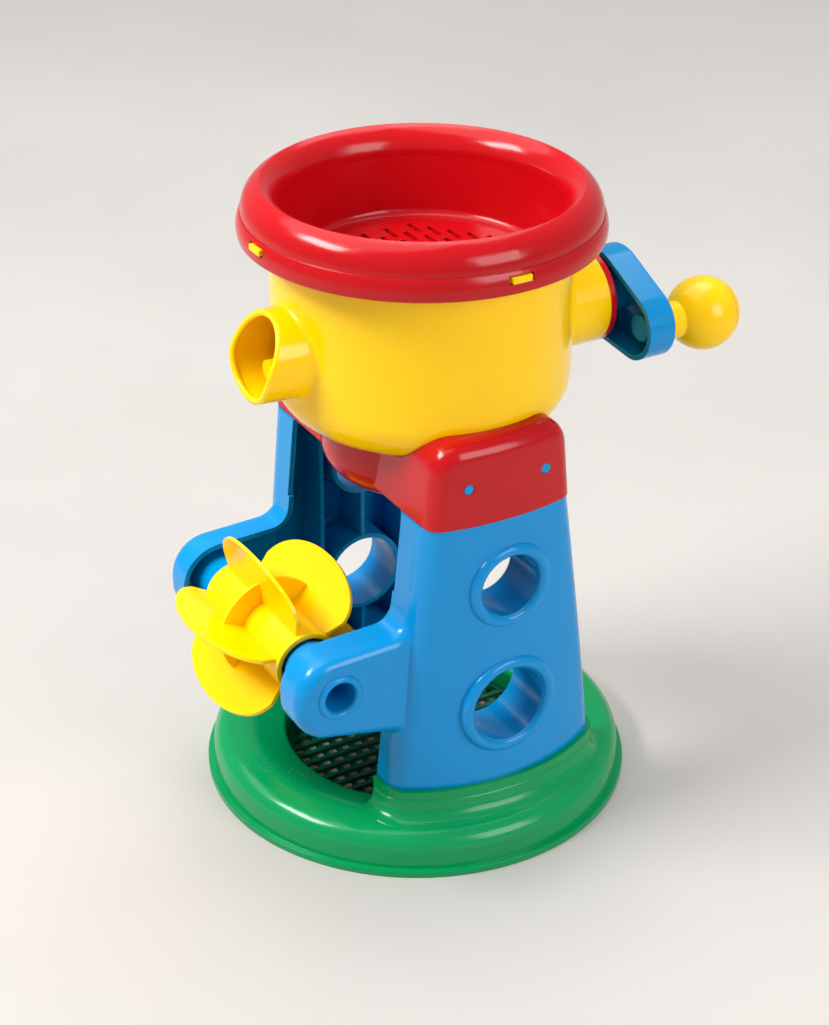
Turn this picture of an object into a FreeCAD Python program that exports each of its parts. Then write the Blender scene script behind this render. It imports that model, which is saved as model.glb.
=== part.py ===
import FreeCAD, Part
import math
import os

import Sketcher
from FreeCAD import Placement, Rotation, Vector

# Sand-and-water mill: a round green base, two blue legs, a red saddle, a yellow drum with a screw feed
# turned by a crank, a red hopper on top and a yellow paddle wheel under the spout.
# Frame: origin on the ground at the middle of the base, +Z up, the screw feed along Y with its spout at -Y,
# the wheel's axle along X. Millimetres.

SIZES = {
    # base
    "base_radius": 100.0, "lip_height": 3.0, "lip_step": 2.5, "crown_radius": 80.0,
    "crown_height": 21.5, "pan_radius": 62.0, "pan_floor": 3.0, "shell_wall": 2.5,
    "pedestal_top": 34.0, "pedestal_inner": 50.5, "pedestal_margin": 2.0,
    # grille in the base pan
    "grille_pitch": 7.0, "grille_bar": 2.2, "grille_height": 4.0, "grille_rim": 3.0, "grille_gap": 0.4,
    # legs: face_* is the bulging outer face at the foot and at the top, arm_* the arm that holds the wheel
    "face_foot": 80.2, "face_top": 76.6, "bend_foot": 105.0, "bend_top": 150.0, "middle_foot": 3.8,
    "middle_top": -0.5, "leg_inner": 50.0, "leg_wall": 2.5, "leg_round": 12.0,
    "leg_top": 166.0, "leg_top_rear": 36.8, "leg_top_front": -37.0, "leg_foot_rear": 57.0,
    "leg_foot_front": -49.5, "rib_wall": 2.0, "rib_side": 20.0, "rib_reach": 55.0,
    "arm_face": 66.0, "arm_inner": 48.5, "arm_round": 6.0, "arm_tip_radius": 20.0, "arm_top": 112.0,
    "arm_root_top": 113.5, "arm_tip_low": 75.5, "arm_root_low": 64.5, "arm_root": -34.0,
    "low_hole_height": 72.0, "low_hole_radius": 18.0, "low_bead_radius": 21.2,
    "high_hole_height": 132.5, "high_hole_radius": 14.5, "high_bead_radius": 17.4,
    "hole_offset": 2.0, "hole_bead": 2.9, "hole_tube_end": 54.0, "hole_tube_wall": 2.2,
    # axle stubs of the wheel
    "axle_back": -76.2, "axle_height": 93.8, "stub_radius": 9.6, "stub_bore": 7.2, "stub_end": 21.0,
    "stub_shoulder": 37.2, "shoulder_radius": 12.0, "boss_bead_radius": 9.0, "boss_bead": 1.7,
    # tongue of each leg in the saddle's ears, and its pegs
    "tongue_top": 197.0, "tongue_wall": 2.3, "tongue_half": 24.0, "tongue_middle": -1.0,
    "tongue_inner": 66.5, "peg_radius": 2.3, "peg_height": 184.3, "peg_front": -18.9, "peg_rear": 19.5,
    # saddle
    "ear_top": 204.4, "ear_front": -36.6, "ear_rear": 36.4, "ear_round": 14.0, "ear_edge_round": 8.5,
    "ear_wall": 2.8, "ear_inner": 57.0, "web_turn": 42.0, "web_bottom": 161.5, "cup_radius": 45.0,
    "cup_bottom": 157.0, "cup_round": 15.0, "cup_wall": 2.6, "fit_gap": 0.15,
    # drum
    "drum_offset": 1.6, "drum_radius": 66.0, "drum_bottom": 187.0, "drum_round": 20.0, "drum_wall": 1.9,
    "drum_top": 278.4, "flange_radius": 75.2, "flange_wall": 2.2,
    "lug_reach": 80.4, "lug_width": 9.0, "lug_height": 2.6, "window_margin": 1.4,
    "feed_height": 221.0, "collar_end": 88.0, "collar_radius": 21.3, "collar_wall": 2.2,
    "collar_root_round": 7.0, "spout_root_round": 3.0,
    "spout_height": 228.0, "spout_radius": 19.3, "spout_root_radius": 20.6, "spout_root": -60.0,
    "spout_wall": 2.2, "spout_end": -83.3, "spout_turn_height": 225.0, "spout_top_end": -72.0,
    "spout_turn_round": 25.0,
    # hopper
    "skirt_radius": 79.2, "skirt_bottom": 271.0, "skirt_top": 280.6, "skirt_wall": 2.0,
    "rim_radius": 69.4, "rim_half": 8.3, "rim_top": 293.2, "hopper_wall": 2.0,
    "bowl_floor_radius": 57.0, "bowl_floor": 254.0, "bowl_round": 3.0,
    "slot_length": 11.0, "slot_width": 2.4, "slot_pitch": 6.0,
    # screw feed
    "shaft_radius": 7.4, "shaft_step": 62.0, "core_radius": 4.6, "shaft_front": -74.0,
    "shaft_rear": 96.0, "flight_radius": 13.0, "flight_throat_radius": 9.4, "flight_throat": -56.0,
    "flight_pitch": 22.0, "flight_wall": 2.4, "flight_front": -72.0, "flight_rear": 60.0,
    "running_gap": 0.06,
    # bearing cap between collar and crank
    "cap_radius": 21.2, "cap_wall": 3.6, "cap_plug": 7.0, "cap_gap": 0.1,
    # crank
    "crank_front": 94.6, "crank_back": 109.0, "crank_wall": 2.4, "crank_hub_radius": 20.5,
    "crank_tip_radius": 15.8, "crank_tip_side": 27.0, "crank_tip_height": 214.5,
    "crank_boss_radius": 10.0, "crank_screw_radius": 4.4, "crank_screw_shank": 2.0,
    # knob
    "knob_side": 30.0, "knob_height": 214.0, "knob_centre": 132.5, "knob_radius": 17.0,
    "knob_neck_radius": 8.5, "knob_neck_start": 109.5, "knob_seam": 141.0, "pin_radius": 4.0,
    "pin_head_radius": 6.2, "pin_head_wall": 2.4, "knob_hollow_radius": 7.0, "knob_hollow_start": 134.0,
    # wheel
    "wheel_reach": 42.0, "wheel_half": 35.9, "wheel_shoulder": 23.2, "blade_wall": 1.8,
    "blade_lift": 1.5, "blade_curl": 5.4, "blade_count": 6, "blade_phase": 33.0,
    "hub_radius": 15.0, "hub_bore": 12.9,
    "hub_half": 36.0, "hub_web_start": 23.0, "hub_web_end": 28.0, "disc_radius": 25.0, "disc_wall": 1.8,
    # screws
    "screw_head_radius": 3.4, "screw_head_height": 2.2, "screw_shank_radius": 1.6, "screw_length": 14.0,
    "screw_side": 60.0, "screw_front": 36.0, "screw_post_radius": 4.2, "drum_screw_side": 24.0,
}

doc = FreeCAD.newDocument("sand_mill")
sheet = doc.addObject("Spreadsheet::Sheet", "dims")
for row, (alias, number) in enumerate(SIZES.items(), start=1):
    sheet.set(f"A{row}", alias)
    sheet.set(f"B{row}", str(number))
    sheet.setAlias(f"B{row}", alias)
doc.recompute()

X_AXIS = Vector(1, 0, 0)
Y_AXIS = Vector(0, 1, 0)
Z_AXIS = Vector(0, 0, 1)
ORIGIN = Vector(0, 0, 0)


class Size:
    """A length with its number and the spreadsheet expression that gives it."""

    def __init__(self, number, text):
        self.number = float(number)
        self.text = text

    def __add__(self, other):
        other = as_size(other)
        return Size(self.number + other.number, f"({self.text} + {other.text})")

    def __sub__(self, other):
        other = as_size(other)
        return Size(self.number - other.number, f"({self.text} - {other.text})")

    def __mul__(self, factor):
        return Size(self.number * factor, f"({self.text} * {factor})")

    def __neg__(self):
        return Size(-self.number, f"(-1 * {self.text})")


def as_size(value):
    return value if isinstance(value, Size) else Size(value, f"{float(value)}")


def size(alias):
    """The sheet's cell as a Size, for sketches and expressions."""
    return Size(sheet.get(alias), f"dims.{alias}")


def dim(alias):
    """The sheet's cell as a plain number, for shapes made in code."""
    return float(sheet.get(alias))


# ---------------------------------------------------------------- parametric bodies


def origin_plane(body, role):
    return next(item for item in body.Origin.OriginFeatures if item.Role == role)


def bind(sketch, constraint, value):
    """Adds one dimension to a sketch and ties it to the sheet."""
    index = sketch.addConstraint(constraint)
    if "dims." in value.text:
        sketch.setExpression(f"Constraints[{index}]", value.text)


def outline_sketch(body, role, outline):
    """A closed outline whose corners are bound to the sheet.
    Each entry is (x, y), or (x, y, bulge_x, bulge_y) for an arc to (x, y) through the bulge point."""
    sketch = body.newObject("Sketcher::SketchObject", "Outline")
    sketch.AttachmentSupport = [(origin_plane(body, role), "")]
    sketch.MapMode = "FlatFace"
    corners = [(as_size(entry[0]), as_size(entry[1])) for entry in outline]
    spots = [Vector(x.number, y.number, 0) for x, y in corners]
    ends = []
    for number, entry in enumerate(outline):
        start, end = spots[number - 1], spots[number]
        if len(entry) == 4:
            bulge = Vector(as_size(entry[2]).number, as_size(entry[3]).number, 0)
            counter_clockwise = (bulge - start).cross(end - bulge).z > 0
            arc = Part.Arc(start, bulge, end) if counter_clockwise else Part.Arc(end, bulge, start)
            edge = sketch.addGeometry(arc, False)
            ends.append((edge, 1, 2) if counter_clockwise else (edge, 2, 1))
            radius = sketch.Geometry[edge].Radius
            sketch.addConstraint(Sketcher.Constraint("Radius", edge, radius))
        else:
            edge = sketch.addGeometry(Part.LineSegment(start, end), False)
            ends.append((edge, 1, 2))
    for number, (edge, _, last) in enumerate(ends):
        following, first, _ = ends[(number + 1) % len(ends)]
        sketch.addConstraint(Sketcher.Constraint("Coincident", edge, last, following, first))
        x, y = corners[number]
        bind(sketch, Sketcher.Constraint("DistanceX", -1, 1, edge, last, x.number), x)
        bind(sketch, Sketcher.Constraint("DistanceY", -1, 1, edge, last, y.number), y)
    return sketch


def turned_body(label, outline):
    """A body turned about Z from an outline of (radius, height) corners."""
    body = doc.addObject("PartDesign::Body", label)
    body.Label = label
    sketch = outline_sketch(body, "XZ_Plane", outline)
    turned = body.newObject("PartDesign::Revolution", "Turned")
    turned.Profile = (sketch, [""])
    turned.ReferenceAxis = (sketch, ["V_Axis"])
    turned.Angle = 360
    sketch.Visibility = False
    doc.recompute()
    return body


def lay_along_y(body, x, z):
    """Turns a body built along +Z so that it runs along +Y through (x, z)."""
    body.Placement = Placement(Vector(x, 0, z), Rotation(X_AXIS, -90))


# ---------------------------------------------------------------- shapes made in code


def feature(label, shape):
    piece = doc.addObject("Part::Feature", label)
    piece.Label = label
    piece.Shape = shape.removeSplitter()
    return piece


def rounded_outline(corners):
    """Closed wire in the XY plane through (x, y, radius) corners, each rounded by its radius."""
    edges = []
    starts, ends = [], []
    count = len(corners)
    for number, (x, y, radius) in enumerate(corners):
        here = Vector(x, y, 0)
        if radius == 0:
            starts.append(here)
            ends.append(here)
            continue
        before = Vector(*corners[number - 1][:2], 0)
        after = Vector(*corners[(number + 1) % count][:2], 0)
        back = (before - here).normalize()
        ahead = (after - here).normalize()
        half = back.getAngle(ahead) / 2
        trim = radius / math.tan(half)
        middle = here + (back + ahead).normalize() * (radius / math.sin(half) - radius)
        starts.append(here + back * trim)
        ends.append(here + ahead * trim)
        edges.append(Part.Arc(starts[-1], middle, ends[-1]).toShape())
    for number in range(count):
        following = (number + 1) % count
        if ends[number].distanceToPoint(starts[following]) > 1e-6:
            edges.append(Part.LineSegment(ends[number], starts[following]).toShape())
    return Part.Wire(Part.__sortEdges__(edges))


def turned(corners):
    """Solid turned about Z from rounded corners given as (radius, height, rounding)."""
    face = Part.Face(rounded_outline(corners))
    face.rotate(ORIGIN, X_AXIS, 90)
    return face.revolve(ORIGIN, Z_AXIS, 360)


def hull_of_circles(first, second):
    """Outline around two circles given as (x, y, radius), joined by their outer tangents."""
    (x1, y1, r1), (x2, y2, r2) = first, second
    gap = math.hypot(x2 - x1, y2 - y1)
    along = math.atan2(y2 - y1, x2 - x1)
    lean = math.acos((r1 - r2) / gap)

    def at(x, y, radius, angle):
        return Vector(x + radius * math.cos(angle), y + radius * math.sin(angle), 0)

    left1, right1 = at(x1, y1, r1, along + lean), at(x1, y1, r1, along - lean)
    left2, right2 = at(x2, y2, r2, along + lean), at(x2, y2, r2, along - lean)
    edges = [
        Part.Arc(left1, at(x1, y1, r1, along + math.pi), right1).toShape(),
        Part.LineSegment(right1, right2).toShape(),
        Part.Arc(right2, at(x2, y2, r2, along), left2).toShape(),
        Part.LineSegment(left2, left1).toShape(),
    ]
    return Part.Wire(edges)


def side_plate(wire, start, end):
    """Extrudes an outline drawn as (y, z) from x = start to x = end."""
    plate = Part.Face(wire).extrude(Vector(0, 0, end - start))
    plate.Placement = Placement(Vector(start, 0, 0), Rotation(Vector(1, 1, 1), 120))
    return plate


def front_plate(wire, start, end):
    """Extrudes an outline drawn as (x, z) from y = start to y = end."""
    plate = Part.Face(wire).extrude(Vector(0, 0, end - start))
    plate.Placement = Placement(Vector(0, end, 0), Rotation(X_AXIS, 90))
    return plate


def rod(radius, start, end):
    """A cylinder from one point to another."""
    along = end - start
    return Part.makeCylinder(radius, along.Length, start, along)


def bead(radius, thickness, centre, axis):
    return Part.makeTorus(radius, thickness, centre, axis)


def block(low, high):
    corner = Vector(*low)
    return Part.makeBox(high[0] - low[0], high[1] - low[1], high[2] - low[2], corner)


def in_plan(wire, low, high):
    """Extrudes an outline drawn as (x, y) between two heights."""
    solid = Part.Face(wire).extrude(Vector(0, 0, high - low))
    solid.translate(Vector(0, 0, low))
    return solid


def face_at(height, y, offset=0.0):
    """How far out the legs' bulging outer face is at a height and a depth."""
    share = (height - dim("pedestal_top")) / (dim("leg_top") - dim("pedestal_top"))
    middle = dim("middle_foot") + share * (dim("middle_top") - dim("middle_foot"))
    bend = dim("bend_foot") + share * (dim("bend_top") - dim("bend_foot")) + offset
    reach = dim("face_foot") + share * (dim("face_top") - dim("face_foot")) + offset
    return reach - bend + math.sqrt(bend * bend - (y - middle) ** 2)


def bulge(offset):
    """Everything inside the legs' bulging outer face, moved outward by offset."""
    wires = []
    for height in (-20.0, 240.0):
        share = (height - dim("pedestal_top")) / (dim("leg_top") - dim("pedestal_top"))
        middle = dim("middle_foot") + share * (dim("middle_top") - dim("middle_foot"))
        ends = [Vector(face_at(height, middle + y, offset), middle + y, height) for y in (-66, 0, 66)]
        corners = [Vector(0, middle + y, height) for y in (66, -66)]
        wires.append(Part.Wire([
            Part.Arc(*ends).toShape(), Part.LineSegment(ends[2], corners[0]).toShape(),
            Part.LineSegment(*corners).toShape(), Part.LineSegment(corners[1], ends[0]).toShape(),
        ]))
    return Part.makeLoft(wires, True, True)


def round_outer_face(solid, radius):
    """Rounds the edge round the face that looks along +X, but not where the solid is cut off level."""
    def outward(face):
        low, high, back, front = face.ParameterRange
        return face.normalAt((low + high) / 2, (back + front) / 2).x > 0.9

    face = max((f for f in solid.Faces if outward(f)), key=lambda f: f.Area)
    edges = [e for e in face.OuterWire.Edges if e.BoundBox.ZLength > 0.5]
    return solid.makeFillet(radius, edges)


def between(low, high):
    """Everything between two heights."""
    return block((-200, -200, low), (200, 200, high))


# ---------------------------------------------------------------- base


def make_base():
    wall = dim("shell_wall")
    outer, lip = dim("base_radius"), dim("lip_height")
    pan = dim("pan_radius")

    def profile(inset):
        """The ring's section, or its hollow underside when inset is the wall's thickness."""
        low = 0 if inset == 0 else -1
        side, top = outer - dim("lip_step") - inset, dim("crown_height") - inset
        return turned([
            (side, low, 0.2), (side - 1, top - 2.5, 9 - inset), (dim("crown_radius"), top, 20),
            (pan + inset, top - 5, 3.2 + inset / 2), (pan + inset, low, 0.2),
        ])

    ring = profile(0)
    lip_disc = Part.makeCylinder(outer, lip).cut(Part.makeCylinder(pan, lip))
    solid = ring.fuse(lip_disc)
    hollow = profile(wall)
    for sign in (1, -1):
        solid = solid.fuse(pedestal(0, sign))
        hollow = hollow.fuse(pedestal(wall, sign))
    solid = solid.cut(hollow)
    seat = Part.makeCylinder(pan + 0.5, dim("pan_floor")).cut(Part.makeCylinder(pan - 4, dim("pan_floor")))
    solid = solid.fuse(seat)
    top_face = dim("pedestal_top")
    seat_height = top_face - 6
    for sign in (1, -1):
        for x, y in leg_screw_places():
            x = sign * x
            post = rod(dim("screw_post_radius") + 2, Vector(x, y, seat_height - 6), Vector(x, y, top_face))
            solid = solid.fuse(post)
            solid = solid.cut(rod(dim("screw_shank_radius") + 0.2, Vector(x, y, 0), Vector(x, y, top_face)))
            head_room = rod(dim("screw_head_radius") + 0.4, Vector(x, y, -1), Vector(x, y, seat_height))
            solid = solid.cut(head_room)
    return feature("base", solid)


def pedestal(inset, sign):
    """The raised block under one leg, or its hollow when inset is the wall's thickness."""
    margin = dim("pedestal_margin") - inset
    front, rear = dim("leg_foot_front") - margin, dim("leg_foot_rear") + margin
    low = dim("pan_floor") if inset == 0 else -1
    inner, outer, round_edge = dim("pedestal_inner") + inset, dim("face_foot") + 12, dim("leg_round") + margin
    outline = rounded_outline([(inner, front, 0), (outer, front, 0), (outer, rear, 0), (inner, rear, 0)])
    solid = in_plan(outline, low, dim("pedestal_top") - inset).common(bulge(margin + 0.3))
    upright = [e for e in solid.Edges if e.BoundBox.ZLength > 20 and e.CenterOfMass.x > inner + 5]
    solid = solid.makeFillet(round_edge, upright)
    return solid if sign > 0 else solid.mirror(ORIGIN, X_AXIS)


def make_grille():
    """Two crossed layers of bars in a round frame, lying in the base's pan."""
    radius = dim("pan_radius") - dim("grille_gap")
    low, height, bar = dim("pan_floor"), dim("grille_height"), dim("grille_bar")
    frame = Part.makeCylinder(radius, height).cut(Part.makeCylinder(radius - dim("grille_rim"), height))
    bars = []
    steps = int((radius - bar) // dim("grille_pitch"))
    for step in range(-steps, steps + 1):
        place = step * dim("grille_pitch")
        bars.append(block((place - bar / 2, -radius, height / 2), (place + bar / 2, radius, height)))
        bars.append(block((-radius, place - bar / 2, 0), (radius, place + bar / 2, height / 2)))
    lattice = bars[0].multiFuse(bars[1:]).common(Part.makeCylinder(radius - 1, height))
    solid = frame.fuse(lattice)
    solid.translate(Vector(0, 0, low))
    corner = dim("pedestal_inner") - 0.4
    for sign in (1, -1):
        keep_out = block((corner, -80, 0), (100, 80, 20))
        if sign < 0:
            keep_out = keep_out.mirror(ORIGIN, X_AXIS)
        solid = solid.cut(keep_out)
    return feature("base_grille", solid)


# ---------------------------------------------------------------- legs


def leg_panel(inset, low, high):
    """The leg's main panel between two heights, or its hollow when inset is the wall's thickness."""
    foot, top = dim("pedestal_top"), dim("leg_top")
    front_lean = (dim("leg_top_front") - dim("leg_foot_front")) / (top - foot)
    rear_lean = (dim("leg_top_rear") - dim("leg_foot_rear")) / (top - foot)
    start, end = foot - 10, top + 10
    outline = rounded_outline([
        (dim("leg_foot_front") + inset + front_lean * (start - foot), start, 0),
        (dim("leg_foot_rear") - inset + rear_lean * (start - foot), start, 0),
        (dim("leg_foot_rear") - inset + rear_lean * (end - foot), end, 0),
        (dim("leg_foot_front") + inset + front_lean * (end - foot), end, 0),
    ])
    solid = side_plate(outline, dim("leg_inner") - inset, dim("face_foot") + 10).common(bulge(-inset))
    return round_outer_face(solid, dim("leg_round") - inset).common(between(low, high))


def arm_panel(inset):
    """The arm that holds the wheel, or its hollow when inset is the wall's thickness."""
    tip, root = dim("axle_back") - dim("arm_tip_radius") + inset, dim("arm_root") - inset
    top, root_top = dim("arm_top") - inset, dim("arm_root_top") - inset
    low, root_low = dim("arm_tip_low") + inset, dim("arm_root_low") + inset
    curl = dim("arm_tip_radius") - 1.5 - inset

    def front(height):
        """Where the leg's front edge is at a height."""
        share = (height - dim("pedestal_top")) / (dim("leg_top") - dim("pedestal_top"))
        return inset + dim("leg_foot_front") + share * (dim("leg_top_front") - dim("leg_foot_front"))

    high_end, low_end = root_top + 14, root_low - 6
    outline = rounded_outline([
        (root, low_end, 0), (root, high_end, 0), (front(high_end), high_end, 0),
        (front(root_top) - 0.3, root_top, 9 + inset), (tip, top, curl), (tip, low, curl),
        (front(root_low) - 0.3, root_low, 3 + inset), (front(low_end), low_end, 0),
    ])
    solid = side_plate(outline, dim("arm_inner") - inset, dim("arm_face") - inset)
    if inset:
        return solid
    face = max((f for f in solid.Faces if f.CenterOfMass.x > dim("arm_face") - 0.1), key=lambda f: f.Area)
    edges = [e for e in face.OuterWire.Edges if e.BoundBox.YMax < root - 0.1]
    return solid.makeFillet(dim("arm_round"), edges)


def tongue():
    """The upright tongue that slides up into the saddle's ear, with its two pegs."""
    middle, half, wall = dim("tongue_middle"), dim("tongue_half"), dim("tongue_wall")
    inner, low, high = dim("tongue_inner"), dim("leg_top") - 6, dim("tongue_top")
    reach = dim("face_foot") + 5
    gap = dim("ear_wall") - 0.4 + dim("fit_gap")
    plate = block((inner, middle - half, low), (reach, middle + half, high)).common(bulge(-gap))
    hollow = block((inner - 1, middle - half + wall, dim("leg_top") + wall),
                   (reach, middle + half - wall, high - wall))
    plate = plate.cut(hollow.common(bulge(-gap - wall)))
    for y in (dim("peg_front"), dim("peg_rear")):
        height = dim("peg_height")
        tip = face_at(height, y) + 0.2
        plate = plate.fuse(rod(dim("peg_radius"), Vector(inner + 1, y, height), Vector(tip, y, height)))
    return plate


def leg_shape():
    wall, low, high = dim("leg_wall"), dim("pedestal_top"), dim("leg_top")
    reach = dim("face_foot") + 5
    solid = leg_panel(0, low, high).fuse(arm_panel(0))
    solid = solid.cut(leg_panel(wall, low + wall, high - wall)).cut(arm_panel(wall))
    inside = leg_panel(1, low + 1, high - 1)
    y = dim("hole_offset")
    for place in (-dim("rib_side"), y, dim("rib_side") + 4):
        half = dim("rib_wall") / 2
        rib = block((dim("rib_reach"), place - half, low), (reach, place + half, high))
        solid = solid.fuse(rib.common(inside))
    holes = ((dim("low_hole_height"), dim("low_hole_radius"), dim("low_bead_radius")),
             (dim("high_hole_height"), dim("high_hole_radius"), dim("high_bead_radius")))
    for height, radius, ring in holes:
        face = face_at(height, y)
        tube = rod(radius + dim("hole_tube_wall"), Vector(dim("hole_tube_end"), y, height),
                   Vector(face - 0.8, y, height))
        solid = solid.fuse(tube)
        solid = solid.fuse(bead(ring, dim("hole_bead"), Vector(face - 1.3, y, height), X_AXIS))
        solid = solid.cut(rod(radius, Vector(0, y, height), Vector(reach + 10, y, height)))
    solid = axle_stub(solid.fuse(tongue()))
    for x, y in leg_screw_places():
        post = rod(dim("screw_post_radius"), Vector(x, y, low), Vector(x, y, low + dim("screw_length")))
        web = block((x, y - 1, low), (reach, y + 1, low + dim("screw_length"))).common(inside)
        solid = solid.fuse(post).fuse(web)
        solid = solid.cut(rod(dim("screw_shank_radius") - 0.2, Vector(x, y, low - 1),
                              Vector(x, y, low + dim("screw_length") - 2)))
    return solid


def leg_screw_places():
    return [(dim("screw_side"), dim("middle_foot") + end * dim("screw_front")) for end in (1, -1)]


def axle_stub(solid):
    """Adds the hollow stub that carries one end of the paddle wheel, and the raised ring outside it."""
    y, z, face = dim("axle_back"), dim("axle_height"), dim("arm_face")
    shoulder = rod(dim("shoulder_radius"), Vector(dim("stub_shoulder"), y, z), Vector(face - 1.5, y, z))
    stub = rod(dim("stub_radius"), Vector(dim("stub_end"), y, z), Vector(face - 1.5, y, z))
    ring = bead(dim("boss_bead_radius"), dim("boss_bead"), Vector(face - 0.2, y, z), X_AXIS)
    solid = solid.fuse(shoulder).fuse(stub).fuse(ring)
    return solid.cut(rod(dim("stub_bore"), Vector(dim("stub_end") + 2, y, z), Vector(face + 8, y, z)))


def make_legs():
    shape = leg_shape()
    return [feature("leg_right", shape), feature("leg_left", shape.mirror(ORIGIN, X_AXIS))]


# ---------------------------------------------------------------- drum


def drum_outside(grow):
    """The drum's outer form, larger by grow: a cylinder with a rounded bottom edge."""
    radius, round_edge = dim("drum_radius") + grow, dim("drum_round") + grow
    low = dim("drum_bottom") - grow
    body = Part.makeCylinder(radius, dim("drum_top") - low, Vector(0, dim("drum_offset"), low))
    rim = [e for e in body.Edges if e.BoundBox.ZMax < low + 0.1 and e.BoundBox.XLength > radius]
    return body.makeFillet(round_edge, rim)


def spout_cone(shrink):
    """The spout's tapered tube, or its hollow when shrink is the wall's thickness."""
    root, end = dim("spout_root"), dim("spout_end")
    taper = (dim("spout_root_radius") - dim("spout_radius")) / (root - end)
    start, stop = root + 20, end - 10
    wide = dim("spout_root_radius") + taper * (start - root) - shrink
    narrow = dim("spout_radius") - taper * (end - stop) - shrink
    return Part.makeCone(wide, narrow, start - stop, Vector(0, start, dim("spout_height")), -Y_AXIS)


def spout_cutter():
    """Everything in front of the spout's mouth, which is upright below and leans back above."""
    low, high = dim("spout_height") - 40, dim("spout_height") + dim("spout_radius")
    end, far = dim("spout_end"), dim("spout_end") - 40
    outline = rounded_outline([
        (far, low, 0), (end, low, 0), (end, dim("spout_turn_height"), dim("spout_turn_round")),
        (dim("spout_top_end"), high, 0), (dim("spout_top_end"), high + 10, 0), (far, high + 10, 0),
    ])
    return side_plate(outline, -40, 40)


def round_root(solid, side, radius):
    """Rounds the corner where the spout (side -1) or the collar (side 1) meets the drum."""
    def at_root(edge):
        box, place = edge.BoundBox, side * edge.CenterOfMass.y
        return box.XLength > 20 and box.YLength < 10 and box.ZMin > 204 and 40 < place < 75

    return solid.makeFillet(radius, [edge for edge in solid.Edges if at_root(edge)])


def make_drum():
    wall, feed, offset = dim("drum_wall"), dim("feed_height"), dim("drum_offset")
    top = dim("drum_top")
    collar = rod(dim("collar_radius"), Vector(0, 40, feed), Vector(0, dim("collar_end"), feed))
    solid = round_root(drum_outside(0).fuse(spout_cone(0)), -1, dim("spout_root_round"))
    solid = round_root(solid.fuse(collar), 1, dim("collar_root_round"))
    axis = Vector(0, offset, 0)
    flange_spot = axis + Z_AXIS * (top - dim("flange_wall"))
    solid = solid.fuse(Part.makeCylinder(dim("flange_radius"), dim("flange_wall"), flange_spot))
    for quarter in range(4):
        half = dim("lug_width") / 2
        lug = block((0, -half, top - dim("lug_height")), (dim("lug_reach"), half, top))
        lug = lug.common(Part.makeCylinder(dim("lug_reach"), 20, Vector(0, 0, top - 10)))
        lug.rotate(ORIGIN, Z_AXIS, 90 * quarter)
        lug.translate(axis)
        solid = solid.fuse(lug)
    inside = drum_outside(-wall)
    inside = inside.fuse(Part.makeCylinder(dim("drum_radius") - wall, 30, axis + Z_AXIS * (top - 20)))
    inside = inside.fuse(spout_cone(dim("spout_wall")))
    bore = dim("collar_radius") - dim("collar_wall")
    inside = inside.fuse(rod(bore, Vector(0, 20, feed), Vector(0, dim("collar_end") + 1, feed)))
    solid = solid.cut(inside).cut(spout_cutter())
    for sign in (1, -1):
        x = sign * dim("drum_screw_side")
        low = dim("drum_bottom")
        post = rod(dim("screw_post_radius"), Vector(x, offset, low), Vector(x, offset, low + 9))
        solid = solid.fuse(post)
        solid = solid.cut(rod(dim("screw_shank_radius") - 0.2, Vector(x, offset, low - 1),
                              Vector(x, offset, low + 7.5)))
    return feature("drum", solid)


# ---------------------------------------------------------------- saddle


def saddle_side(inset, low):
    """The saddle's right side down to a height: its ear and the walls from there to the middle cup,
    or the hollow inside them when inset is the wall's thickness."""
    front, rear, high = dim("ear_front") + inset, dim("ear_rear") - inset, dim("ear_top") - inset
    corner = dim("ear_round") - inset
    from_side = rounded_outline([
        (rear + 1.5, low, 0), (rear - 4, high, corner), (front + 4, high, corner), (front - 1, low, 0),
    ])
    seat = dim("drum_bottom") + 4 - inset
    from_front = rounded_outline([
        (20, low, 0), (20, seat, 0), (dim("web_turn") + inset, seat, 8),
        (dim("ear_inner") + inset, high + 1, 8 - inset), (dim("face_foot") + 10, high + 1, 0),
        (dim("face_foot") + 10, low, 0),
    ])
    solid = side_plate(from_side, 20, dim("face_foot") + 5).common(bulge(0.4 - inset))
    return solid.common(front_plate(from_front, front - 20, rear + 20))


def make_saddle():
    gap, skin = dim("fit_gap"), dim("cup_wall")
    offset, low, seat = dim("drum_offset"), dim("cup_bottom"), dim("drum_bottom")
    solid = round_outer_face(saddle_side(0, low - 10), dim("ear_edge_round"))
    solid = solid.common(between(dim("leg_top") + gap, dim("ear_top")))
    pocket = saddle_side(dim("ear_wall"), low - 20).cut(drum_outside(gap + skin))
    solid = solid.cut(pocket.cut(rod(dim("cup_radius"), Vector(0, offset, 0), Vector(0, offset, 300))))
    under = dim("tongue_inner") - 8
    solid = solid.cut(block((-under, -100, 100), (under, 100, dim("web_bottom"))))
    for y in (dim("peg_front"), dim("peg_rear")):
        solid = solid.cut(rod(dim("peg_radius") + gap, Vector(dim("tongue_inner"), y, dim("peg_height")),
                              Vector(100, y, dim("peg_height"))))
    solid = solid.fuse(solid.mirror(ORIGIN, X_AXIS))
    solid = solid.cut(rod(dim("cup_radius") - 1, Vector(0, offset, 150), Vector(0, offset, 250)))
    solid = solid.fuse(turned_cup(0).cut(turned_cup(skin)))
    screw_places = [(sign * dim("drum_screw_side"), offset) for sign in (1, -1)]
    for x, y in screw_places:
        solid = solid.fuse(rod(dim("screw_post_radius") + 1.5, Vector(x, y, low + 1), Vector(x, y, seat)))
    solid = solid.cut(drum_outside(gap))
    for x, y in screw_places:
        solid = solid.cut(rod(dim("screw_shank_radius") + 0.2, Vector(x, y, low - 1), Vector(x, y, seat)))
        solid = solid.cut(rod(dim("screw_head_radius") + 0.4, Vector(x, y, low - 1), Vector(x, y, seat - 8)))
    return feature("saddle", solid)


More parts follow.
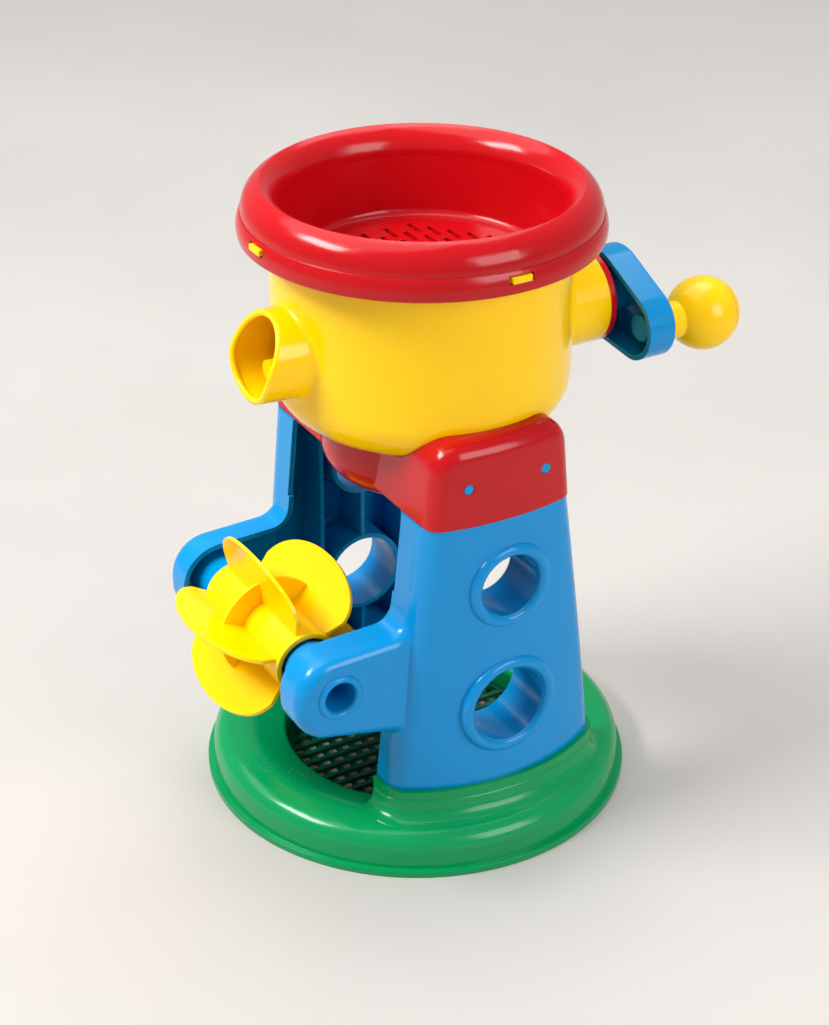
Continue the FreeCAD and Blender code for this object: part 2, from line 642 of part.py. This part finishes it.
def turned_cup(inset):
    """The round cup under the drum, or its hollow when inset is the wall's thickness."""
    radius, low = dim("cup_radius") - inset, dim("cup_bottom") + inset
    cup = Part.makeCylinder(radius, dim("drum_bottom") + 2 - low, Vector(0, dim("drum_offset"), low))
    rim = [e for e in cup.Edges if e.BoundBox.ZMax < low + 0.1 and e.BoundBox.XLength > radius]
    return cup.makeFillet(dim("cup_round") - inset, rim)


# ---------------------------------------------------------------- hopper


def make_hopper():
    offset = dim("drum_offset")
    skirt, low, ledge = size("skirt_radius"), size("skirt_bottom"), size("skirt_top")
    thin, wall = size("skirt_wall"), size("hopper_wall")
    middle, half, top = size("rim_radius"), size("rim_half"), size("rim_top")
    floor, foot, corner = size("bowl_floor"), size("bowl_floor_radius"), size("bowl_round")
    rise = (top - ledge) * 0.62
    lean = half * 0.74
    outline = [
        (skirt, low),
        (skirt - 1.1, ledge, skirt + 0.45, low + 4.4),
        (middle + half, ledge),
        (middle, top, middle + lean, ledge + rise),
        (middle - half, ledge, middle - lean, ledge + rise),
        (foot + 0.6, floor + corner),
        (foot - corner, floor, foot - 0.6, floor + 0.9),
        (0, floor),
        (0, floor - wall),
        (foot - corner, floor - wall),
        (foot + wall + 0.6, floor + corner, foot + wall * 0.6, floor - 0.7),
        (middle - half + wall, ledge),
        (middle, top - wall, middle - lean + wall * 0.6, ledge + rise - wall * 0.8),
        (middle + half - wall, ledge - thin, middle + lean - wall * 0.7, ledge + rise - wall),
        (skirt - thin, ledge - thin),
        (skirt - thin, low),
    ]
    body = turned_body("hopper_turned", outline)
    body.Placement = Placement(Vector(0, offset, 0), Rotation())
    openings = feature("hopper_openings", slot_cutter().fuse(window_cutter()))
    hopper = doc.addObject("Part::Cut", "hopper")
    hopper.Label = "hopper"
    hopper.Base = body
    hopper.Tool = openings
    return hopper


def slot_cutter():
    """Rows of short slots through the bowl's floor."""
    length, width, pitch = dim("slot_length"), dim("slot_width"), dim("slot_pitch")
    limit = dim("bowl_floor_radius") - 8
    slots = []
    rows = int(limit // pitch)
    for row in range(-rows, rows + 1):
        shift = (length + 4) / 2 if row % 2 else 0
        for column in range(-4, 5):
            x, y = column * (length + 4) + shift, row * pitch
            if math.hypot(abs(x) + length / 2, y) < limit:
                slots.append(block((x - length / 2, y - width / 2, -5), (x + length / 2, y + width / 2, 5)))
    cutter = slots[0].multiFuse(slots[1:])
    cutter.translate(Vector(0, dim("drum_offset"), dim("bowl_floor")))
    return cutter


def window_cutter():
    """The four windows in the skirt that the drum's lugs click into."""
    half, margin = dim("lug_width") / 2, dim("window_margin")
    inner = dim("flange_radius") + 0.4
    windows = []
    for quarter in range(4):
        low, high = dim("drum_top") - dim("lug_height") - 0.5, dim("drum_top") + 0.5
        window = block((inner, -half - margin, low), (100, half + margin, high))
        window.rotate(ORIGIN, Z_AXIS, 90 * quarter)
        window.translate(Vector(0, dim("drum_offset"), 0))
        windows.append(window)
    return windows[0].multiFuse(windows[1:])


# ---------------------------------------------------------------- screw feed and crank


def make_bearing_cap():
    start = size("collar_end") + 0.1
    radius, wall, plug = size("cap_radius"), size("cap_wall"), size("cap_plug")
    bore = size("shaft_radius") + size("running_gap")
    snug = size("collar_radius") - size("collar_wall") - size("cap_gap")
    body = turned_body("bearing_cap", [
        (bore, start - plug), (snug, start - plug), (snug, start), (radius, start),
        (radius, start + wall - 0.8), (radius - 0.8, start + wall), (bore, start + wall),
    ])
    lay_along_y(body, 0, dim("feed_height"))
    return body


def helical_flight():
    """One helical flight about Z, wide in the drum and narrow in the spout's throat."""
    core, reach, half = dim("core_radius"), dim("flight_radius"), dim("flight_wall") / 2
    start, stop = dim("flight_front"), dim("flight_rear")
    helix = Part.makeHelix(dim("flight_pitch"), stop - start, core)
    helix.translate(Vector(0, 0, start))
    low, high = start - half, start + half
    corners = [(core - 1, low), (reach, low), (reach, high), (core - 1, high)]
    section = Part.makePolygon([Vector(x, 0, z) for x, z in corners + corners[:1]])
    flight = Part.Wire(helix.Edges).makePipeShell([section], True, True)
    throat = dim("flight_throat")
    wide = Part.makeCylinder(reach + 1, throat - start + 5, Vector(0, 0, start - 5))
    return flight.cut(wide.cut(Part.makeCylinder(dim("flight_throat_radius"), 400, Vector(0, 0, -200))))


def make_feed_screw():
    """Shaft with one helical flight, from the crank to the spout."""
    feed, radius, front, rear = dim("feed_height"), dim("shaft_radius"), dim("shaft_front"), dim("shaft_rear")
    step = dim("shaft_step")
    core = Part.makeCylinder(dim("core_radius"), rear - front, Vector(0, 0, front))
    shaft = core.fuse(Part.makeCylinder(radius, rear - step, Vector(0, 0, step)))
    solid = shaft.fuse(helical_flight())
    solid = solid.cut(Part.makeCylinder(dim("crank_screw_shank") - 0.2, 40, Vector(0, 0, rear - 18)))
    flat = block((-20, radius - 1.6, dim("crank_front") + 0.2), (20, 20, rear + 1))
    solid = solid.cut(flat)
    solid.Placement = Placement(Vector(0, 0, feed), Rotation(X_AXIS, -90))
    return feature("feed_screw", solid)


def crank_outline(shrink):
    return hull_of_circles(
        (0, dim("feed_height"), dim("crank_hub_radius") - shrink),
        (dim("crank_tip_side"), dim("crank_tip_height"), dim("crank_tip_radius") - shrink),
    )


def make_crank():
    """Tear-shaped tray, open towards the drum, with a boss for the shaft and one for the knob's pin."""
    front, back, wall = dim("crank_front"), dim("crank_back"), dim("crank_wall")
    feed = dim("feed_height")
    solid = front_plate(crank_outline(0), front, back)
    outer_edges = [e for e in solid.Edges if e.BoundBox.YMin > back - 0.01]
    solid = solid.makeFillet(1.6, outer_edges)
    solid = solid.cut(front_plate(crank_outline(wall), front - 1, back - wall))
    hub = rod(dim("crank_boss_radius"), Vector(0, front, feed), Vector(0, back - 1, feed))
    knob_spot = Vector(dim("knob_side"), 0, dim("knob_height"))
    boss = rod(dim("pin_radius") + 2.2, knob_spot + Y_AXIS * (front + 3), knob_spot + Y_AXIS * (back - 1))
    solid = solid.fuse(hub).fuse(boss)
    rear = dim("shaft_rear")
    socket = rod(dim("shaft_radius"), Vector(0, front - 1, feed), Vector(0, rear, feed))
    flat = block((-20, front - 2, feed - 20), (20, rear + 1, feed - dim("shaft_radius") + 1.6))
    solid = solid.cut(socket.cut(flat))
    seat, past = Vector(0, back - 3.5, feed), Vector(0, back + 1, feed)
    solid = solid.cut(rod(dim("crank_screw_shank") + 0.2, Vector(0, rear - 1, feed), past))
    solid = solid.cut(rod(dim("crank_screw_radius") + 0.3, seat, past))
    pin_start, pin_end = knob_spot + Y_AXIS * (front + 4), knob_spot + Y_AXIS * (back + 1)
    solid = solid.cut(rod(dim("pin_radius"), pin_start, pin_end))
    return feature("crank_arm", solid)


def make_crank_screw():
    head, shank = size("crank_screw_radius"), size("crank_screw_shank")
    seat = size("crank_back") - 3.5
    body = turned_body("crank_screw", [
        (0, seat - 20), (shank - 0.8, seat - 20), (shank - 0.25, seat - 18), (shank - 0.25, seat),
        (head, seat), (head, seat + 1.4), (head - 1.4, seat + 2.6), (0, seat + 2.6),
    ])
    lay_along_y(body, 0, dim("feed_height"))
    return body


def make_knob_pin():
    radius, head = size("pin_radius"), size("pin_head_radius")
    start, stop = size("crank_front") + 4, size("knob_hollow_start")
    body = turned_body("knob_pin", [
        (0, start), (radius, start), (radius, stop + 0.3), (head, stop + 0.3),
        (head, stop + size("pin_head_wall")), (0, stop + size("pin_head_wall")),
    ])
    lay_along_y(body, dim("knob_side"), dim("knob_height"))
    return body


def make_knob():
    """Ball that spins on the pin, and the cap that closes it."""
    centre, radius = size("knob_centre"), size("knob_radius")
    neck, start, seam = size("knob_neck_radius"), size("knob_neck_start"), size("knob_seam")
    bore = size("pin_radius") + size("running_gap")
    hollow, ledge = size("knob_hollow_radius"), size("knob_hollow_start")
    drop = math.sqrt(radius.number ** 2 - neck.number ** 2)
    cut_radius = math.sqrt(radius.number ** 2 - (seam.number - centre.number) ** 2)
    ball = turned_body("knob_ball", [
        (bore, start), (neck, start), (neck, centre - drop),
        (cut_radius, seam, radius, centre), (hollow, seam), (hollow, ledge), (bore, ledge),
    ])
    lean = math.radians(60)
    bulge_r = radius.number * math.cos(lean)
    bulge_y = centre.number + radius.number * math.sin(lean)
    shift = 0.25
    inner = hollow - 0.1
    cap = turned_body("knob_cap", [
        (0, seam - 2), (inner - 2, seam - 2), (inner - 2, seam - 3), (inner, seam - 3), (inner, seam + shift),
        (cut_radius - 0.2, seam + shift), (1.2, centre + radius - 0.04, bulge_r, bulge_y),
        (0, centre + radius - 0.04),
    ])
    lay_along_y(ball, dim("knob_side"), dim("knob_height"))
    lay_along_y(cap, dim("knob_side"), dim("knob_height"))
    return [ball, cap]


# ---------------------------------------------------------------- paddle wheel


def wheel_envelope():
    """Solid of revolution about X that gives every blade its rounded outline: a half ellipse on a taper."""
    half, shoulder = dim("wheel_half"), dim("wheel_shoulder")
    rise = dim("wheel_reach") - shoulder
    turns = [math.radians(22.5 * step) for step in range(9)]
    rim = Part.BSplineCurve()
    rim.interpolate([Vector(half * math.cos(a), 0, shoulder + rise * math.sin(a)) for a in turns])
    corners = [
        Vector(half, 0, shoulder), Vector(half - 4, 0, 13), Vector(half - 4, 0, 0),
        Vector(4 - half, 0, 0), Vector(4 - half, 0, 13), Vector(-half, 0, shoulder),
    ]
    edges = [Part.LineSegment(first, second).toShape() for first, second in zip(corners, corners[1:])]
    wire = Part.Wire(Part.__sortEdges__(edges + [rim.toShape()]))
    return Part.Face(wire).revolve(ORIGIN, X_AXIS, 360)


def blade():
    """One plate standing on the hub towards +Y, its tip curling upward, with a rounded outline."""
    lift, curl, wall = dim("blade_lift"), dim("blade_curl"), dim("blade_wall")
    root, tip, half = dim("hub_radius") - 2, dim("wheel_reach") + 2, dim("wheel_half") + 2

    def face_points(offset):
        low = lift + offset
        return Vector(root, low, 0), Vector((root + tip) / 2, low + curl / 4, 0), Vector(tip, low + curl, 0)

    lower, upper = face_points(0), face_points(wall)
    wire = Part.Wire([
        Part.Arc(*lower).toShape(), Part.LineSegment(lower[2], upper[2]).toShape(),
        Part.Arc(*upper).toShape(), Part.LineSegment(upper[0], lower[0]).toShape(),
    ])
    return side_plate(wire, -half, half).common(wheel_envelope())


def make_wheel():
    half, wall = dim("hub_half"), dim("disc_wall")
    solid = rod(dim("hub_radius"), Vector(-half, 0, 0), Vector(half, 0, 0))
    solid = solid.fuse(rod(dim("disc_radius"), Vector(-wall / 2, 0, 0), Vector(wall / 2, 0, 0)))
    one = blade()
    turn = 360 / dim("blade_count")
    for number in range(int(dim("blade_count"))):
        turned_blade = one.copy()
        turned_blade.rotate(ORIGIN, X_AXIS, dim("blade_phase") + number * turn)
        solid = solid.fuse(turned_blade)
    solid = solid.cut(rod(dim("hub_bore"), Vector(-half - 1, 0, 0), Vector(half + 1, 0, 0)))
    bearing = dim("stub_radius") + dim("running_gap")
    for sign in (1, -1):
        start, end = Vector(sign * dim("hub_web_start"), 0, 0), Vector(sign * dim("hub_web_end"), 0, 0)
        web = rod(dim("hub_bore") + 0.5, start, end).cut(rod(bearing, start, end))
        solid = solid.fuse(web)
    solid.translate(Vector(0, dim("axle_back"), dim("axle_height")))
    return feature("paddle_wheel", solid)


# ---------------------------------------------------------------- screws


def screw(x, y, seat):
    top, bottom = seat + dim("screw_length"), seat - dim("screw_head_height")
    head = rod(dim("screw_head_radius"), Vector(x, y, bottom), Vector(x, y, seat))
    shank = rod(dim("screw_shank_radius") - 0.25, Vector(x, y, seat), Vector(x, y, top))
    cross = block((x - 2, y - 0.4, seat - 3), (x + 2, y + 0.4, seat - 1.2))
    cross = cross.fuse(block((x - 0.4, y - 2, seat - 3), (x + 0.4, y + 2, seat - 1.2)))
    return head.fuse(shank).cut(cross)


def make_base_screws():
    seat = dim("pedestal_top") - 6
    places = [(sign * x, y) for sign in (1, -1) for x, y in leg_screw_places()]
    return feature("base_screws", Part.makeCompound([screw(x, y, seat) for x, y in places]))


def make_drum_screws():
    seat = dim("drum_bottom") - 8
    screws = [screw(sign * dim("drum_screw_side"), dim("drum_offset"), seat) for sign in (1, -1)]
    return feature("drum_screws", Part.makeCompound(screws))


pieces = [
    make_base(), make_grille(), *make_legs(), make_saddle(), make_drum(), make_hopper(),
    make_bearing_cap(), make_feed_screw(), make_crank(), make_crank_screw(), make_knob_pin(),
    *make_knob(), make_wheel(), make_base_screws(), make_drum_screws(),
]
doc.recompute()

for item in doc.Objects:
    if "Invalid" in item.State or "Error" in item.State:
        raise RuntimeError(f"{item.Label} failed: {item.State}")
for piece in pieces:
    if piece.Shape.isNull() or not piece.Shape.isValid():
        raise RuntimeError(f"{piece.Label} has no valid shape")

os.makedirs("parts", exist_ok=True)
for piece in pieces:
    piece.Shape.exportStep(f"parts/{piece.Label}.step")
    print(piece.Label, len(piece.Shape.Solids), round(piece.Shape.Volume))
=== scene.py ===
import math

import bmesh
import bpy
from mathutils import Matrix, Vector, geometry
from mathutils.bvhtree import BVHTree


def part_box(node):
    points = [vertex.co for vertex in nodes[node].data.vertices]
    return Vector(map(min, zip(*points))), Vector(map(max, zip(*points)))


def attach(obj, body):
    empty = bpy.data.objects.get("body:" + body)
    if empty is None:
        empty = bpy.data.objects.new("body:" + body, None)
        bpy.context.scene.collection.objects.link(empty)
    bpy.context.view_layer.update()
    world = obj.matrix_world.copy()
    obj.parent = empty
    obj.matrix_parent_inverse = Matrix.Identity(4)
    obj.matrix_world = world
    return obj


# The toy sand mill's looks: moulded plastic for every piece, the pedestals' roots and the spout's lip,
# a pale studio and the camera. Metres, in the CAD model's frame.

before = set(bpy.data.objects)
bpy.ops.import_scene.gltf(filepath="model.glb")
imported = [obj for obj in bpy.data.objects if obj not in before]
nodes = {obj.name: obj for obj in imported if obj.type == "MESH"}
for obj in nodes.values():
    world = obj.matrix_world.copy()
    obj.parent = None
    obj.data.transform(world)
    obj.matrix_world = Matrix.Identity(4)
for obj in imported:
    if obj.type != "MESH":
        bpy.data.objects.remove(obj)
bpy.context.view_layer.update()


# ---------------------------------------------------------------- plastics


class Graph:
    """A material's node tree with short calls for adding and joining nodes."""

    def __init__(self, name):
        self.material = bpy.data.materials.new(name)
        self.material.use_nodes = True
        self.tree = self.material.node_tree
        self.shader = self.tree.nodes["Principled BSDF"]
        coords = self.tree.nodes.new("ShaderNodeTexCoord")
        self.place = coords.outputs["Object"]

    def join(self, source, target):
        self.tree.links.new(source, target)

    def noise(self, scale, detail=2.0, rough=0.5):
        node = self.tree.nodes.new("ShaderNodeTexNoise")
        node.inputs["Scale"].default_value = scale
        node.inputs["Detail"].default_value = detail
        node.inputs["Roughness"].default_value = rough
        self.join(self.place, node.inputs["Vector"])
        return node.outputs["Fac"]

    def cells(self, scale):
        node = self.tree.nodes.new("ShaderNodeTexVoronoi")
        node.inputs["Scale"].default_value = scale
        self.join(self.place, node.inputs["Vector"])
        return node

    def spread(self, value, low, high, to_low, to_high):
        node = self.tree.nodes.new("ShaderNodeMapRange")
        for name, number in zip(("From Min", "From Max", "To Min", "To Max"), (low, high, to_low, to_high)):
            node.inputs[name].default_value = number
        self.join(value, node.inputs["Value"])
        return node.outputs["Result"]

    def maths(self, operation, first, second):
        node = self.tree.nodes.new("ShaderNodeMath")
        node.operation = operation
        for number, value in enumerate((first, second)):
            if isinstance(value, (int, float)):
                node.inputs[number].default_value = value
            else:
                self.join(value, node.inputs[number])
        return node.outputs[0]

    def mix(self, share, first, second):
        node = self.tree.nodes.new("ShaderNodeMix")
        node.data_type = "RGBA"
        self.join(share, node.inputs["Factor"])
        for socket, value in ((node.inputs[6], first), (node.inputs[7], second)):
            if isinstance(value, tuple):
                socket.default_value = (*value, 1)
            else:
                self.join(value, socket)
        return node.outputs[2]

    def bump(self, height, distance, strength, below=None):
        node = self.tree.nodes.new("ShaderNodeBump")
        node.inputs["Distance"].default_value = distance
        node.inputs["Strength"].default_value = strength
        self.join(height, node.inputs["Height"])
        if below is not None:
            self.join(below, node.inputs["Normal"])
        return node.outputs["Normal"]


def plastic(name, color, deep, rough=0.16, glow=0.0, dust=0.12):
    """Glossy moulded plastic: uneven colour and polish, soft sink marks, fine scuffs, specks of dust."""
    graph = Graph(name)
    shader = graph.shader
    cloud = graph.spread(graph.noise(9, 3), 0.35, 0.7, 0.0, 0.55)
    body = graph.mix(cloud, color, deep)
    surface = graph.tree.nodes.new("ShaderNodeNewGeometry")
    facing = graph.tree.nodes.new("ShaderNodeSeparateXYZ")
    graph.join(surface.outputs["Normal"], facing.inputs["Vector"])
    upward = graph.spread(facing.outputs["Z"], 0.35, 0.95, 0.0, 1.0)
    specks = graph.cells(950)
    speck = graph.spread(specks.outputs["Distance"], 0.16, 0.26, 1.0, 0.0)
    patches = graph.spread(graph.noise(38, 4, 0.6), 0.56, 0.72, 0.0, 1.0)
    settled = graph.maths("MULTIPLY", upward, dust)
    dusty = graph.maths("MULTIPLY", graph.maths("MULTIPLY", speck, patches), settled)
    graph.join(graph.mix(dusty, body, (0.62, 0.46, 0.31)), shader.inputs["Base Color"])
    polish = graph.spread(graph.noise(55, 5, 0.65), 0.3, 0.75, rough - 0.05, rough + 0.09)
    graph.join(graph.maths("ADD", polish, graph.maths("MULTIPLY", dusty, 0.6)), shader.inputs["Roughness"])
    rounded = graph.tree.nodes.new("ShaderNodeBevel")
    rounded.samples = 4
    rounded.inputs["Radius"].default_value = 0.0006
    soft = graph.bump(graph.noise(26, 1), 0.0008, 0.10, rounded.outputs["Normal"])
    grain = graph.bump(graph.noise(900, 2), 0.00008, 0.20, soft)
    graph.join(graph.bump(dusty, 0.0004, 0.5, grain), shader.inputs["Normal"])
    shader.inputs["IOR"].default_value = 1.5
    shader.inputs["Specular IOR Level"].default_value = 0.32
    if glow:
        shader.inputs["Subsurface Weight"].default_value = glow
        shader.inputs["Subsurface Radius"].default_value = (1.0, 0.55, 0.08)
        shader.inputs["Subsurface Scale"].default_value = 0.006
    return graph.material


def steel(name):
    """Zinc-plated screw steel with a fine turned grain."""
    graph = Graph(name)
    shader = graph.shader
    tone = graph.spread(graph.noise(700, 3), 0.3, 0.7, 0.0, 1.0)
    graph.join(graph.mix(tone, (0.45, 0.45, 0.46), (0.62, 0.62, 0.60)), shader.inputs["Base Color"])
    graph.join(graph.spread(graph.noise(1500, 2), 0.3, 0.7, 0.25, 0.45), shader.inputs["Roughness"])
    graph.join(graph.bump(graph.noise(1200, 2), 0.00005, 0.3), shader.inputs["Normal"])
    shader.inputs["Metallic"].default_value = 1.0
    return graph.material


RED = plastic("red_plastic_moulded", (0.49, 0.003, 0.006), (0.40, 0.002, 0.005))
YELLOW = plastic("yellow_plastic_moulded", (1.0, 0.62, 0.0), (1.0, 0.54, 0.0), glow=0.12)
BLUE = plastic("blue_plastic_moulded", (0.0, 0.255, 0.600), (0.0, 0.220, 0.530))
GREEN = plastic("green_plastic_moulded", (0.0, 0.300, 0.090), (0.0, 0.235, 0.068), dust=0.22)
# The grille's green is a darker copy of the base's green plastic: painted shade for the pan under the mill.
GREEN_PAINTED_SHADE = plastic("green_plastic_painted_shade", (0.0, 0.090, 0.040), (0.0, 0.066, 0.030), rough=0.28)
STEEL = steel("screw_steel_plated")

FINISH = {
    "base": GREEN, "base_grille": GREEN_PAINTED_SHADE, "leg_right": BLUE, "leg_left": BLUE, "saddle": RED,
    "drum": YELLOW, "hopper": RED, "bearing_cap": RED, "feed_screw": YELLOW, "crank_arm": BLUE,
    "crank_screw": STEEL, "knob_pin": YELLOW, "knob_ball": YELLOW, "knob_cap": YELLOW,
    "paddle_wheel": YELLOW, "base_screws": STEEL, "drum_screws": STEEL,
}

for name, material in FINISH.items():
    mesh = nodes[name].data
    if not mesh.materials:
        mesh.materials.append(material)
    for index in range(len(mesh.materials)):
        mesh.materials[index] = material


# ---------------------------------------------------------------- moulded roots and lips


def surface_of(node):
    """A tree for casting rays at a CAD node's surface."""
    shape = bmesh.new()
    shape.from_mesh(nodes[node].data)
    tree = BVHTree.FromBMesh(shape)
    shape.free()
    return tree


def swept(name, sections, material, closed):
    """A closed skin through sections that all have the same number of points."""
    shape = bmesh.new()
    rings = [[shape.verts.new(point) for point in section] for section in sections]
    count = len(rings[0])
    pairs = list(zip(rings, rings[1:])) + ([(rings[-1], rings[0])] if closed else [])
    for first, second in pairs:
        for number in range(count):
            after = (number + 1) % count
            shape.faces.new((first[number], first[after], second[after], second[number]))
    if not closed:
        shape.faces.new(rings[0])
        shape.faces.new(list(reversed(rings[-1])))
    bmesh.ops.recalc_face_normals(shape, faces=shape.faces)
    for face in shape.faces:
        face.smooth = len(face.verts) == 4
    mesh = bpy.data.meshes.new(name)
    shape.to_mesh(mesh)
    shape.free()
    mesh.materials.append(material)
    piece = bpy.data.objects.new(name, mesh)
    bpy.context.scene.collection.objects.link(piece)
    return piece


def pedestal_outline(sign):
    """One pedestal's top in plan, from its inner front corner round the outside to its inner rear one."""
    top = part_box("base")[1].z - 1e-5
    points = [v.co.xy for v in nodes["base"].data.vertices if v.co.z > top and v.co.x * sign > 0]
    loop = [points[i] for i in geometry.convex_hull_2d(points)]
    inner = min(abs(point.x) for point in loop)
    corners = [number for number, point in enumerate(loop) if abs(point.x) < inner + 1e-4]
    corners.sort(key=lambda number: loop[number].y)
    start, end = corners[0], corners[-1]
    ordered = loop[start:] + loop[:start]
    if abs(ordered[1].x) < inner + 1e-4:
        ordered = [ordered[0]] + list(reversed(ordered[1:]))
    stop = ordered.index(loop[end])
    return ordered[:stop + 1]


def even_steps(points, step):
    """Points the same distance apart along a line, with the outward direction at each."""
    spans = [(second - first).length for first, second in zip(points, points[1:])]
    total = sum(spans)
    count = max(8, round(total / step))
    middle = sum(points, Vector((0, 0))) / len(points)
    places = []
    for number in range(count + 1):
        left = total * number / count
        index = 0
        while index < len(spans) - 1 and left > spans[index]:
            left -= spans[index]
            index += 1
        first, second = points[index], points[index + 1]
        places.append(first.lerp(second, min(1, left / spans[index])))
    outward = []
    for number, place in enumerate(places):
        along = places[min(number + 2, count)] - places[max(number - 2, 0)]
        normal = Vector((along.y, -along.x)).normalized()
        outward.append(normal if normal.dot(place - middle) > 0 else -normal)
    return list(zip(places, outward))


def pedestal_flare(side, sign):
    """The concave root that runs from a pedestal's walls out onto the ring."""
    ground = surface_of("base")
    least, reach, widening = 0.0015, 0.0075, 0.0005
    gap, inside, sunk, steps = 0.0002, -0.0012, 0.0008, 10
    sections = []
    for place, outward in even_steps(pedestal_outline(sign), 0.0012):
        place = place + outward * gap

        def height(distance):
            spot = place + outward * distance
            return ground.ray_cast(Vector((spot.x, spot.y, 0.1)), Vector((0, 0, -1)))[0].z

        corner, width = height(0.0006), least
        while width < reach and height(width + widening) > corner - 0.35 * width - sunk:
            width += widening
        top, far = corner + width * 1.15, height(width)
        curve = []
        for number in range(steps + 1):
            share = number / steps
            rest = 1 - share
            level = rest ** 2 * top + 2 * share * rest * corner + share ** 2 * far
            curve.append((width * share * share, level))
        curve += [(width, far - sunk), (inside, corner - sunk), (inside, top)]
        sections.append([(*(place + outward * distance), level) for distance, level in curve])
    piece = swept(f"pedestal_flare_{side}", sections, GREEN, False)
    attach(piece, "mill")


def spout_lip():
    """The thick rounded lip round the spout's mouth."""
    drum = surface_of("drum")
    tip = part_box("drum")[0].y
    front = [v.co for v in nodes["drum"].data.vertices if v.co.y < tip + 0.004]
    middle = min(point.z for point in front) + max(point.x for point in front)
    wall, lip, turns = 0.0021, 0.0015, 96
    first, step, deepest = 0.010, 0.00008, -0.064
    path = []
    for number in range(turns):
        turn = math.tau * number / turns
        outward = Vector((math.cos(turn), 0, math.sin(turn)))
        # the mouth's edge is the first place, going outward from the axis, that a ray from the front hits
        for count in range(200):
            start = Vector((0, -0.3, middle)) + outward * (first + count * step)
            hit = drum.ray_cast(start, Vector((0, 1, 0)))[0]
            if hit is not None and hit.y < deepest:
                path.append(hit + outward * (wall - lip) + Vector((0, lip * 0.6, 0)))
                break
    sections = []
    for number, place in enumerate(path):
        along = (path[(number + 1) % len(path)] - path[number - 1]).normalized()
        outward = Vector((place.x, 0, place.z - middle)).normalized()
        across = along.cross(outward).normalized()
        outward = across.cross(along).normalized()
        angles = [math.tau * number / 12 for number in range(12)]
        sections.append([place + (outward * math.cos(a) + across * math.sin(a)) * lip for a in angles])
    piece = swept("spout_lip", sections, YELLOW, True)
    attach(piece, "mill")


pedestal_flare("right", 1)
pedestal_flare("left", -1)
spout_lip()


# ---------------------------------------------------------------- studio


def make_floor():
    """A wide pale floor with a slightly uneven tone."""
    mesh = bpy.data.meshes.new("floor")
    half = 14.0
    corners = [(-half, -half, 0), (half, -half, 0), (half, half, 0), (-half, half, 0)]
    mesh.from_pydata(corners, [], [(0, 1, 2, 3)])
    floor = bpy.data.objects.new("floor", mesh)
    bpy.context.scene.collection.objects.link(floor)
    graph = Graph("pale_floor")
    tone = graph.spread(graph.noise(3, 4), 0.3, 0.7, 0.0, 1.0)
    graph.join(graph.mix(tone, (0.50, 0.475, 0.445), (0.46, 0.435, 0.405)), graph.shader.inputs["Base Color"])
    graph.join(graph.spread(graph.noise(20, 4), 0.3, 0.7, 0.55, 0.7), graph.shader.inputs["Roughness"])
    mesh.materials.append(graph.material)


def make_world():
    """Even pale light from all round."""
    world = bpy.data.worlds.new("studio")
    world.use_nodes = True
    background = world.node_tree.nodes["Background"]
    background.inputs["Color"].default_value = (0.93, 0.95, 1.0, 1)
    background.inputs["Strength"].default_value = 0.42
    bpy.context.scene.world = world


def softbox(name, place, aim, width, height, power):
    """A rectangular lamp at a place, turned towards a point on the toy."""
    light = bpy.data.lights.new(name, "AREA")
    light.shape = "RECTANGLE"
    light.size, light.size_y = width, height
    light.energy = power
    lamp = bpy.data.objects.new(name, light)
    bpy.context.scene.collection.objects.link(lamp)
    lamp.location = place
    lamp.rotation_euler = (Vector(aim) - Vector(place)).to_track_quat("-Z", "Y").to_euler()


def even_light(source, strength):
    """A wide soft sun, so that the floor stays as pale far away as it is near the toy."""
    light = bpy.data.lights.new("even", "SUN")
    light.energy, light.angle = strength, math.radians(60)
    lamp = bpy.data.objects.new("even", light)
    bpy.context.scene.collection.objects.link(lamp)
    lamp.rotation_euler = Vector(source).to_track_quat("Z", "Y").to_euler()


def make_camera():
    """Looks down from the right front, rolled by a third of a degree."""
    turn, lift, roll = math.radians(59.638), math.radians(29.325), math.radians(0.357)
    back = Vector((math.sin(turn) * math.cos(lift), -math.cos(turn) * math.cos(lift), math.sin(lift)))
    right = Vector((math.cos(turn), math.sin(turn), 0))
    up = back.cross(right)
    side = right * math.cos(roll) + up * math.sin(roll)
    top = up * math.cos(roll) - right * math.sin(roll)
    camera = bpy.data.objects.new("camera", bpy.data.cameras.new("camera"))
    bpy.context.scene.collection.objects.link(camera)
    camera.data.sensor_width = 36
    camera.data.lens = 79.97
    camera.data.clip_start, camera.data.clip_end = 0.05, 60
    place = Matrix((side, top, back)).transposed().to_4x4()
    place.translation = Vector((0.78338, -0.46018, 0.64191))
    camera.matrix_world = place
    bpy.context.scene.camera = camera


make_floor()
make_world()
softbox("key", (-0.35, -1.15, 1.35), (0, 0, 0.15), 0.8, 0.4, 28)
softbox("overhead", (-0.5, 0.5, 1.6), (0, 0, 0.2), 0.9, 0.9, 8)
softbox("fill", (1.5, 0.5, 0.9), (0, 0, 0.15), 0.9, 0.9, 15)
even_light((-0.35, -0.25, 1.0), 1.6)
make_camera()
bpy.context.scene.view_settings.view_transform = "Standard"
